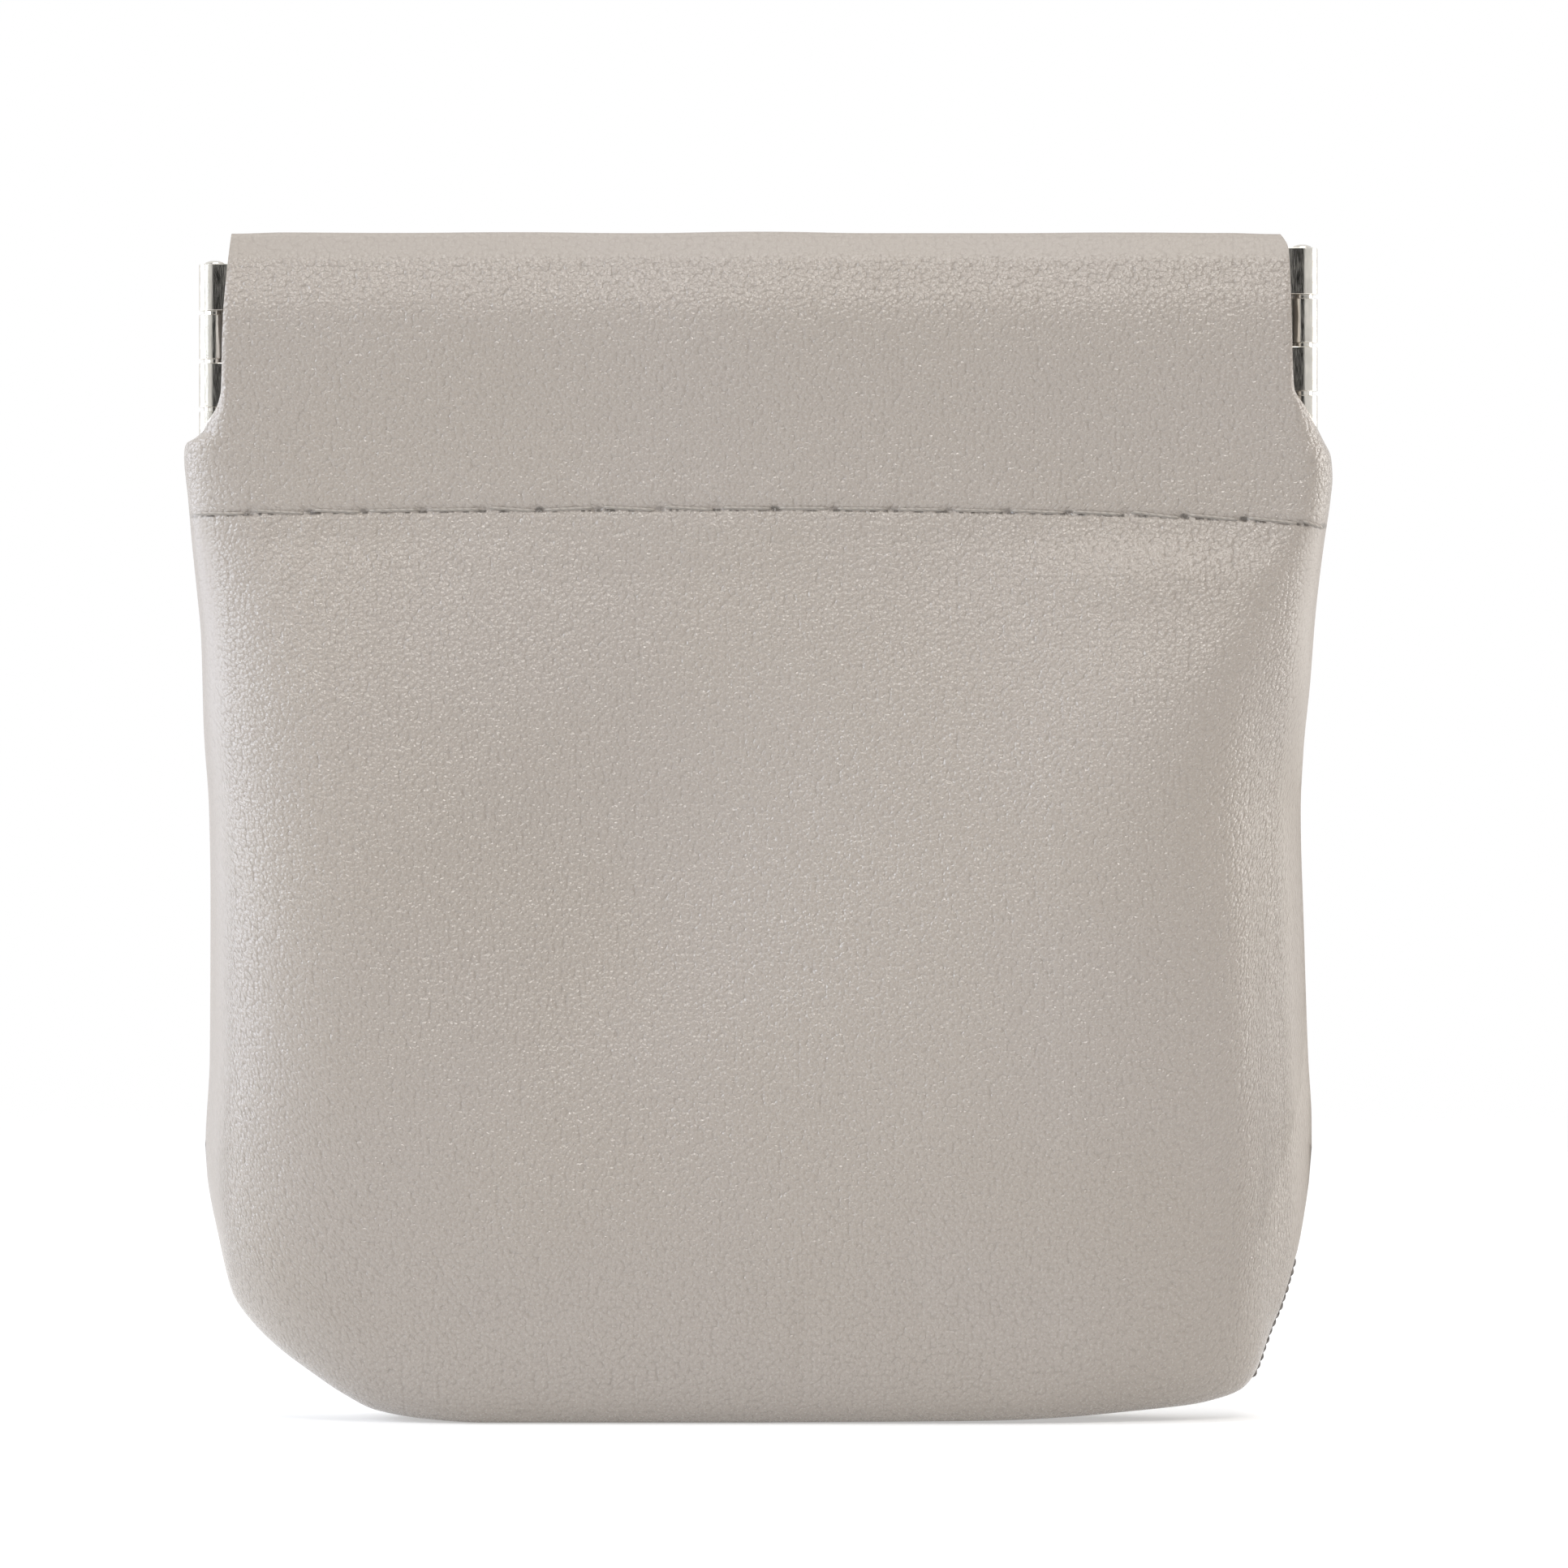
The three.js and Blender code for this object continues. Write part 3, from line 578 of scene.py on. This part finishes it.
    wall(idx[0], inn[0], not keep)
    wall(idx[-1], inn[-1], keep)
    wall(idx[:, 0], inn[:, 0], keep)
    wall(idx[:, -1], inn[:, -1], not keep)
    faces = [tuple(int(i) for i in q) for q in np.concatenate([quads, quads_in])] + [tuple(int(i) for i in q) for q in walls]
    kinds = np.concatenate([np.zeros(len(quads)), np.ones(len(quads_in)), np.full(len(walls), 2)])
    verts = np.concatenate([outer.reshape(-1, 3), inner.reshape(-1, 3)])
    coords = np.concatenate([flat.reshape(-1, 3), flat.reshape(-1, 3) + (0, 0, 3.0)])
    rim = np.zeros((R, C), bool)
    rim[0], rim[-1], rim[:, 0], rim[:, -1] = True, True, True, True
    rim = np.concatenate([rim.ravel(), rim.ravel()])

    def sharp(ends):
        gap = np.abs(ends[:, 0] - ends[:, 1])
        return rim[ends[:, 0]] & rim[ends[:, 1]] & (gap != R * C)

    obj = mesh_piece(f"{face}_leather_{side}", verts, faces, [GRAIN, FLESH, CUT], kinds, coords, sharp)
    # for the painted shade at the needle holes and the painted shadow under the thread: place along the sewn line,
    # height from it and distance to the nearest needle hole
    near = np.min(np.abs(x[..., None] - np.array(holes(face))), axis=-1)
    away = np.where((d > 1.3) | (u > 0.9)[None, :], z - STITCH(x), 9.0)
    away = np.where(np.arange(R)[:, None] < first, away, 9.0)
    sewn = np.stack([x, away, near], axis=-1)
    attr = obj.data.attributes.new("sewn", "FLOAT_VECTOR", "POINT")
    attr.data.foreach_set("vector", np.concatenate([sewn.reshape(-1, 3), np.full((R * C, 3), 9.0)]).astype(np.float32).ravel())
    # and where the leather is drawn taut, so that its grain lies flat: over the top and round the side edges
    gap = (1 - u)[None, :] * EDGE[side](z)
    taut = np.maximum(step(85.2, 86.2, z), (1 - step(0.9, 2.4, gap)) * (1 - step(64.0, 70.0, z)))
    attr = obj.data.attributes.new("taut", "FLOAT", "POINT")
    attr.data.foreach_set("value", np.concatenate([taut.ravel(), np.zeros(R * C)]).astype(np.float32))
    return obj


def follow(obj):
    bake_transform(obj)
    points = np.empty(len(obj.data.vertices) * 3)
    obj.data.vertices.foreach_get("co", points)


# ------------------------------------------------------------------ sewing
def hem_stitches(face, side):
    sx, sy = SIGN[side], FACE[face]
    rng = np.random.default_rng(7 if face == "front" else 8)
    lean = rng.uniform(-0.08, 0.18, 60)
    parts = []
    at = holes(face)
    for k in range(len(at) - 1):
        a, b = at[k], at[k + 1]
        middle = (a + b) / 2
        if (middle < 0) != (sx < 0):
            continue
        a, b = a + 0.1, b - 0.1
        t = np.linspace(0, 1, 17)
        xs = a + (b - a) * t
        zs = STITCH(xs) + lean[k] * (1 - 2 * t)
        us = np.clip(np.abs(xs) / EDGE[side](zs), 0, 1)
        surface = depth(face, side, us, zs)
        lift = 0.015 - 0.6 * (np.exp(-((t / 0.055) ** 2)) + np.exp(-(((1 - t) / 0.055) ** 2)))
        ds = surface + lift
        parts.append(tube(np.stack([xs, sy * ds, zs], axis=1), 0.13 - 0.025 * (np.exp(-((t / 0.08) ** 2)) + np.exp(-(((1 - t) / 0.08) ** 2))), 10, start=k * 5.3))
        # the other thread of the stitch, on the inside of the hem
        t = np.linspace(0, 1, 11)
        xs = np.clip(a + (b - a) * t, -38.1, 38.1)
        if abs(xs[-1] - xs[0]) > 1.0:
            zs = STITCH(xs) + 0.03
            ds = 0.27 + 0.3 * (np.exp(-((t / 0.07) ** 2)) + np.exp(-(((1 - t) / 0.07) ** 2)))
            parts.append(tube(np.stack([xs, sy * ds, zs], axis=1), 0.14, 8, start=k * 5.3 + 2))
    verts, faces, sheet = join(parts)
    obj = mesh_piece(f"{face}_hem_stitches_{side}", verts, faces, [THREAD], sheet=sheet)
    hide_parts(f"{face}_hem_thread")
    follow(obj)
    return obj


def outline(side, n=160):
    """The seam line of one side, from the bottom middle out to the edge and up, as x, z."""
    u = np.concatenate([np.linspace(0, 0.8, 40), np.linspace(0.8, 1, 60)[1:]])
    low = np.stack([SIGN[side] * u * EDGE[side](BOTTOM[side](u)), BOTTOM[side](u)], axis=1)
    z = np.linspace(low[-1, 1], 66.3, 60)[1:]
    high = np.stack([SIGN[side] * EDGE[side](z), z], axis=1)
    path = np.concatenate([low, high])
    length = np.concatenate([[0], np.cumsum(np.linalg.norm(np.diff(path, axis=0), axis=1))])
    s = np.linspace(0, length[-1], n)
    return np.stack([np.interp(s, length, path[:, 0]), np.interp(s, length, path[:, 1])], axis=1)


def inset(path, by, side):
    t = np.gradient(path, axis=0)
    t /= np.linalg.norm(t, axis=1)[:, None]
    inward = np.stack([-t[:, 1], t[:, 0]], axis=1) * SIGN[side]
    return path + inward * by


def sewn_along(points, parts, length=2.6, radius=0.17, swell=0.0):
    """Stitches one after the other along x, z points on the middle plane, each bowing to the front and back."""
    run = np.concatenate([[0], np.cumsum(np.linalg.norm(np.diff(points, axis=0), axis=1))])
    n = max(int(run[-1] / length), 1)
    for k in range(n):
        s = np.linspace(run[-1] * k / n, run[-1] * (k + 1) / n, 11)
        t = np.linspace(0, 1, 11)
        bow = 0.17 * np.sin(math.pi * t) * (1 if k % 2 else -1)
        p = np.stack([np.interp(s, run, points[:, 0]), bow, np.interp(s, run, points[:, 1])], axis=1)
        parts.append(tube(p, radius + swell * (np.sin(math.pi * t) - 1), 8, start=k * 3.1))


def seam_stitches():
    bottom = []
    for side in ("left", "right"):
        path = inset(outline(side), 1.15, side)
        corner = path[:, 1] < (4.2 if side == "left" else 2.6)
        corner &= np.arange(len(path)) < 60
        sewn_along(path[corner], bottom)
        parts = []
        rest = path[~corner]
        sewn_along(rest[rest[:, 1] < 66.0], parts)
        if side == "right":
            # the seam gapes along the slanting corner, and its stitches show
            edge = inset(outline(side, 500), -0.02, side)
            shown = edge[(edge[:, 1] > 3.0) & (edge[:, 1] < 11.8) & (edge[:, 0] > 30)]
            sewn_along(shown, parts, length=0.66, radius=0.175, swell=0.13)
        verts, faces, sheet = join(parts)
        obj = mesh_piece(f"{side}_seam_stitches", verts, faces, [SEAM_THREAD], sheet=sheet)
        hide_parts(f"{side}_seam_thread")
        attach(obj, f"{side}_end")
    verts, faces, sheet = join(bottom)
    obj = mesh_piece("bottom_seam_stitches", verts, faces, [SEAM_THREAD], sheet=sheet)
    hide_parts("bottom_seam_thread")
    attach(obj, "bottom")


def seam_allowance(side):
    """The turned-in edges of both panels behind the seam at a bottom corner, pressed open over the stitches."""
    path = outline(side, 400)
    path = path[(path[:, 1] < 17.5) & (np.abs(path[:, 0]) > 31.0)]
    across = np.linspace(-2.2, 2.2, 13)
    dish = 1.35 + 0.12 * across ** 2
    ring = [(y, d) for y, d in zip(across, dish)] + [(y, d + 0.6) for y, d in zip(across[::-1], dish[::-1])]
    layers = [inset(path, d, side)[::4] for _, d in ring]
    n, m = len(layers[0]), len(ring)
    verts, sheet, faces = [], [], []
    for i in range(n):
        for k, (y, _) in enumerate(ring):
            verts.append((layers[k][i, 0], y, layers[k][i, 1]))
            sheet.append((y + 430.0, i * 0.5, 0 if k < m // 2 else 3.0))
    for i in range(n - 1):
        for k in range(m):
            o = (k + 1) % m
            faces.append((i * m + k, i * m + o, (i + 1) * m + o, (i + 1) * m + k))
    faces.append(tuple(reversed(range(m))))
    faces.append(tuple((n - 1) * m + k for k in range(m)))
    if side == "left":
        faces = [f[::-1] for f in faces]
    obj = mesh_piece(f"{side}_seam_allowance", verts, faces, [GRAIN], sheet=sheet)
    set_flat_by_angle(obj, 50)
    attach(obj, f"{side}_end")
    return obj


# ------------------------------------------------------------------ the flex frame
def curled(face, side, z0, z1):
    """One knuckle: the strip's end curled round the pin, with its leaf running back into the casing."""
    sx, sy = SIGN[side], FACE[face]
    r = (BARREL_R + BARREL_IN) / 2
    half = (BARREL_R - BARREL_IN) / 2
    path = []
    # from the free end of the curl, round the pin, to the front of the barrel, then along the leaf
    for a in np.linspace(math.radians(205), math.radians(-90), 46):
        path.append((r * math.cos(a), r * math.sin(a)))
    for k in range(1, 7):
        t = k / 6
        path.append((-0.55 * t, -r))
    for k in range(1, 13):
        t = k / 12
        path.append((-0.55 - 3.2 * t, -r - (1.315 - r) * (t * t * (3 - 2 * t))))
    p = np.array(path)
    t = np.gradient(p, axis=0)
    t /= np.linalg.norm(t, axis=1)[:, None]
    n = np.stack([-t[:, 1], t[:, 0]], axis=1)
    n_pts = len(p)
    cut = 0.05
    rings = [(z0, half - cut), (z0 + cut, half), (z1 - cut, half), (z1, half - cut)]
    verts, sheet = [], []
    run = np.concatenate([[0], np.cumsum(np.linalg.norm(np.diff(p, axis=0), axis=1))])
    for z, h in rings:
        for s in (1, -1):
            q = p + n * (h * s)
            for i in range(n_pts):
                verts.append((sx * (PIN_X + q[i, 0]), -sy * q[i, 1], z))
                sheet.append((run[i], 3.0 * s, z))
    faces = []
    ring = 2 * n_pts
    for k in range(len(rings) - 1):
        for i in range(n_pts - 1):
            for s in (0, 1):
                a = k * ring + s * n_pts + i
                b = (k + 1) * ring + s * n_pts + i
                q = (a, a + 1, b + 1, b)
                faces.append(q if s else q[::-1])
        for i in (0, n_pts - 1):
            a, b = k * ring + i, k * ring + n_pts + i
            q = (a, b, b + ring, a + ring)
            faces.append(q[::-1] if i else q)
    for k in (0, len(rings) - 1):
        for i in range(n_pts - 1):
            a, b = k * ring + i, k * ring + n_pts + i
            q = (a, a + 1, b + 1, b)
            faces.append(q if k == 0 else q[::-1])
    # the curl is drawn for a front knuckle on the right; mirrored ones turn their faces over
    if sx * -sy < 0:
        faces = [f[::-1] for f in faces]
    return verts, faces, sheet


def knuckles(face, side):
    each = FRAME_HIGH / KNUCKLES
    parts = []
    for k in range(KNUCKLES):
        if (k % 2 == 0) == (face == "front"):
            z0 = FRAME_LOW[side] + each * k + (KNUCKLE_GAP / 2 if k else 0)
            z1 = FRAME_LOW[side] + each * (k + 1) - (KNUCKLE_GAP / 2 if k < KNUCKLES - 1 else 0)
            parts.append(curled(face, side, z0, z1))
    verts, faces, sheet = join(parts)
    obj = mesh_piece(f"{face}_{side}_curled_knuckles", verts, faces, [NICKEL], sheet=sheet, smooth=True)
    set_flat_by_angle(obj, 40)
    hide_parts(f"{face}_{side}_knuckles")
    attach(obj, f"{face}_{side}")
    return obj


def set_flat_by_angle(obj, degrees):
    """Marks edges sharper than the angle, so that flat faces stay flat and round ones round."""
    import bmesh
    bm = bmesh.new()
    bm.from_mesh(obj.data)
    bmesh.ops.recalc_face_normals(bm, faces=bm.faces)
    limit = math.radians(degrees)
    for e in bm.edges:
        e.smooth = len(e.link_faces) == 2 and e.calc_face_angle(0) < limit
    bm.to_mesh(obj.data)
    bm.free()


def hinge_pin(side):
    x = SIGN[side] * PIN_X
    low, high = FRAME_LOW[side] - 0.12, FRAME_LOW[side] + FRAME_HIGH + 0.12
    profile = [(0.0, low - 0.16), (0.35, low - 0.14), (0.62, low - 0.05), (0.76, low + 0.1), (PIN_R, low + 0.3), (PIN_R, high - 0.3), (0.76, high - 0.1), (0.62, high + 0.05), (0.35, high + 0.14), (0.0, high + 0.16)]
    n = 40
    verts, faces, sheet = [], [], []
    for r, z in profile:
        for k in range(n):
            a = 2 * math.pi * k / n
            verts.append((x + max(r, 0.02) * math.cos(a), max(r, 0.02) * math.sin(a), z))
            sheet.append((a, r, z))
    for i in range(len(profile) - 1):
        for k in range(n):
            m = (k + 1) % n
            faces.append((i * n + k, i * n + m, (i + 1) * n + m, (i + 1) * n + k))
    faces.append(tuple(reversed(range(n))))
    faces.append(tuple((len(profile) - 1) * n + k for k in range(n)))
    obj = mesh_piece(f"{side}_domed_pin", verts, faces, [NICKEL], sheet=sheet)
    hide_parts(f"{side}_hinge_pin")
    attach(obj, f"{side}_end")
    return obj


def spring_strip(face, side):
    sx, sy = SIGN[side], FACE[face]
    xs = np.linspace(0, 36.2, 60)
    verts, faces, sheet = [], [], []
    low = lambda x: FRAME_LOW["left"] + (FRAME_LOW["right"] - FRAME_LOW["left"]) * (sx * x + 36.2) / 72.4
    for x in xs:
        z0 = low(x) + 0.15
        z1 = z0 + FRAME_HIGH - 0.3
        for y, z in ((1.15, z0 + 0.06), (1.21, z0), (1.42, z0), (1.48, z0 + 0.06), (1.48, z1 - 0.06), (1.42, z1), (1.21, z1), (1.15, z1 - 0.06)):
            verts.append((sx * x, sy * y, z))
            sheet.append((sx * x, y, z))
    for i in range(len(xs) - 1):
        for k in range(8):
            m = (k + 1) % 8
            faces.append((i * 8 + k, i * 8 + m, (i + 1) * 8 + m, (i + 1) * 8 + k))
    faces.append(tuple(range(8)))
    faces.append(tuple(reversed([(len(xs) - 1) * 8 + k for k in range(8)])))
    obj = mesh_piece(f"{face}_spring_strip_{side}", verts, faces, [STEEL], sheet=sheet)
    set_flat_by_angle(obj, 30)
    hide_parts(f"{face}_strip")
    follow(obj)
    return obj


turned_in = {side: seam_allowance(side) for side in ("left", "right")}
for face in ("front", "back"):
    for side in ("left", "right"):
        strip = spring_strip(face, side)
        knuckles(face, side)
        leather = half_sheet(face, side)
        sewing = hem_stitches(face, side)
        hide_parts(f"{face}_panel")
        follow(leather)
for side in ("left", "right"):
    hinge_pin(side)
seam_stitches()


# ------------------------------------------------------------------ floor, light and camera
def floor():
    m, n, l, s = material("pale_floor")
    place = n.new("ShaderNodeTexCoord")
    cloud = noise(n, l, place.outputs["Object"], 6.0, 1.0)
    l.new(mix_colour(n, l, span(n, l, cloud.outputs["Fac"], 0.3, 0.7, 0, 1), (0.66, 0.66, 0.66), (0.68, 0.68, 0.68)), s.inputs["Base Color"])
    s.inputs["Roughness"].default_value = 0.95
    s.inputs["Emission Color"].default_value = (1, 1, 1, 1)
    s.inputs["Emission Strength"].default_value = 0.38
    s.inputs["Specular IOR Level"].default_value = 0.1
    # the pale floor runs out softly into the white of the studio
    reach = n.new("ShaderNodeVectorMath")
    reach.operation = "LENGTH"
    l.new(place.outputs["Object"], reach.inputs[0])
    fade = n.new("ShaderNodeMapRange")
    fade.interpolation_type = "SMOOTHSTEP"
    l.new(reach.outputs["Value"], fade.inputs["Value"])
    fade.inputs["From Min"].default_value = 0.16
    fade.inputs["From Max"].default_value = 0.62
    clear = n.new("ShaderNodeBsdfTransparent")
    mix = n.new("ShaderNodeMixShader")
    l.new(fade.outputs["Result"], mix.inputs[0])
    l.new(s.outputs[0], mix.inputs[1])
    l.new(clear.outputs[0], mix.inputs[2])
    l.new(mix.outputs[0], next(o for o in n if o.type == "OUTPUT_MATERIAL").inputs[0])
    n_seg = 96
    verts = [(0, 0, -0.02)] + [(900 * math.cos(2 * math.pi * k / n_seg), 900 * math.sin(2 * math.pi * k / n_seg), -0.02) for k in range(n_seg)]
    faces = [(0, k + 1, (k + 1) % n_seg + 1) for k in range(n_seg)]
    obj = mesh_piece("studio_floor", verts, faces, [m])


def softbox(name, place, aim, size, power, colour=(1, 1, 1)):
    data = bpy.data.lights.new(name, "AREA")
    data.shape = "RECTANGLE"
    data.size, data.size_y = size
    data.energy = power
    data.color = colour
    obj = bpy.data.objects.new(name, data)
    obj.location = place
    obj.rotation_mode = "QUATERNION"
    obj.rotation_quaternion = (Vector(aim) - Vector(place)).to_track_quat("-Z", "Y")
    bpy.context.scene.collection.objects.link(obj)
    return obj


def surroundings():
    world = bpy.data.worlds.new("studio")
    bpy.context.scene.world = world
    world.use_nodes = True
    n, l = world.node_tree.nodes, world.node_tree.links
    n.clear()
    out = n.new("ShaderNodeOutputWorld")
    back = n.new("ShaderNodeBackground")
    white = n.new("ShaderNodeBackground")
    white.inputs["Color"].default_value = (1, 1, 1, 1)
    white.inputs["Strength"].default_value = 1.0
    place = n.new("ShaderNodeTexCoord")
    part = n.new("ShaderNodeSeparateXYZ")
    l.new(place.outputs["Generated"], part.inputs[0])
    # the studio is white behind and to the sides, dim in front near eye level, and greyer below
    fall = n.new("ShaderNodeValToRGB")
    l.new(span(n, l, part.outputs["Y"], -1, 1, 0, 1), fall.inputs[0])
    ramp = fall.color_ramp
    ramp.elements[0].position, ramp.elements[0].color = 0.1, (0.02, 0.02, 0.02, 1)
    ramp.elements[1].position, ramp.elements[1].color = 0.75, (1, 1, 1, 1)
    e = ramp.elements.new(0.33)
    e.color = (0.22, 0.22, 0.22, 1)
    e = ramp.elements.new(0.48)
    e.color = (0.8, 0.795, 0.79, 1)
    # panels at eye level in front, left and right of the dark gap where the camera stands
    level = math_node(n, l, "ABSOLUTE", part.outputs["Z"])
    panel = math_node(n, l, "MULTIPLY", span(n, l, level, 0.1, 0.24, 0.85, 0), span(n, l, part.outputs["Y"], -0.985, -0.94, 0, 1))
    l.new(mix_colour(n, l, panel, fall.outputs[0], (1.0, 0.99, 0.975)), back.inputs["Color"])
    back.inputs["Strength"].default_value = 0.9
    path = n.new("ShaderNodeLightPath")
    mix = n.new("ShaderNodeMixShader")
    l.new(path.outputs["Is Camera Ray"], mix.inputs[0])
    l.new(back.outputs[0], mix.inputs[1])
    l.new(white.outputs[0], mix.inputs[2])
    l.new(mix.outputs[0], out.inputs[0])


floor()
surroundings()
softbox("key_left", (-0.64, -0.36, 0.36), (0, 0, 0.05), (0.3, 0.4), 3.7, (0.83, 0.905, 1.0))
softbox("front_top", (0.12, -0.56, 0.56), (0, 0, 0.07), (0.34, 0.2), 2.65, (1.0, 0.97, 0.93))
softbox("overhead", (0.05, -0.14, 0.8), (0, 0, 0.08), (0.5, 0.3), 1.85, (1.0, 0.97, 0.93))
softbox("rim_right", (0.73, 0.2, 0.18), (0, 0, 0.05), (0.45, 0.5), 3.3, (1.0, 0.985, 0.96))
softbox("rim_left", (-0.72, 0.13, 0.18), (0, 0, 0.05), (0.45, 0.5), 3.2, (0.8, 0.86, 1.0))

cam_data = bpy.data.cameras.new("photo_camera")
cam = bpy.data.objects.new("photo_camera", cam_data)
bpy.context.scene.collection.objects.link(cam)
cam.location = (0.0019, -0.6, 0.0469)
cam.rotation_euler = (math.radians(90), 0, 0)
cam_data.lens, cam_data.sensor_width = 186.3, 36.0
cam_data.clip_start, cam_data.clip_end = 0.01, 100
cam_data.dof.use_dof = False
bpy.context.scene.camera = cam
bpy.context.scene.view_settings.view_transform = "Standard"
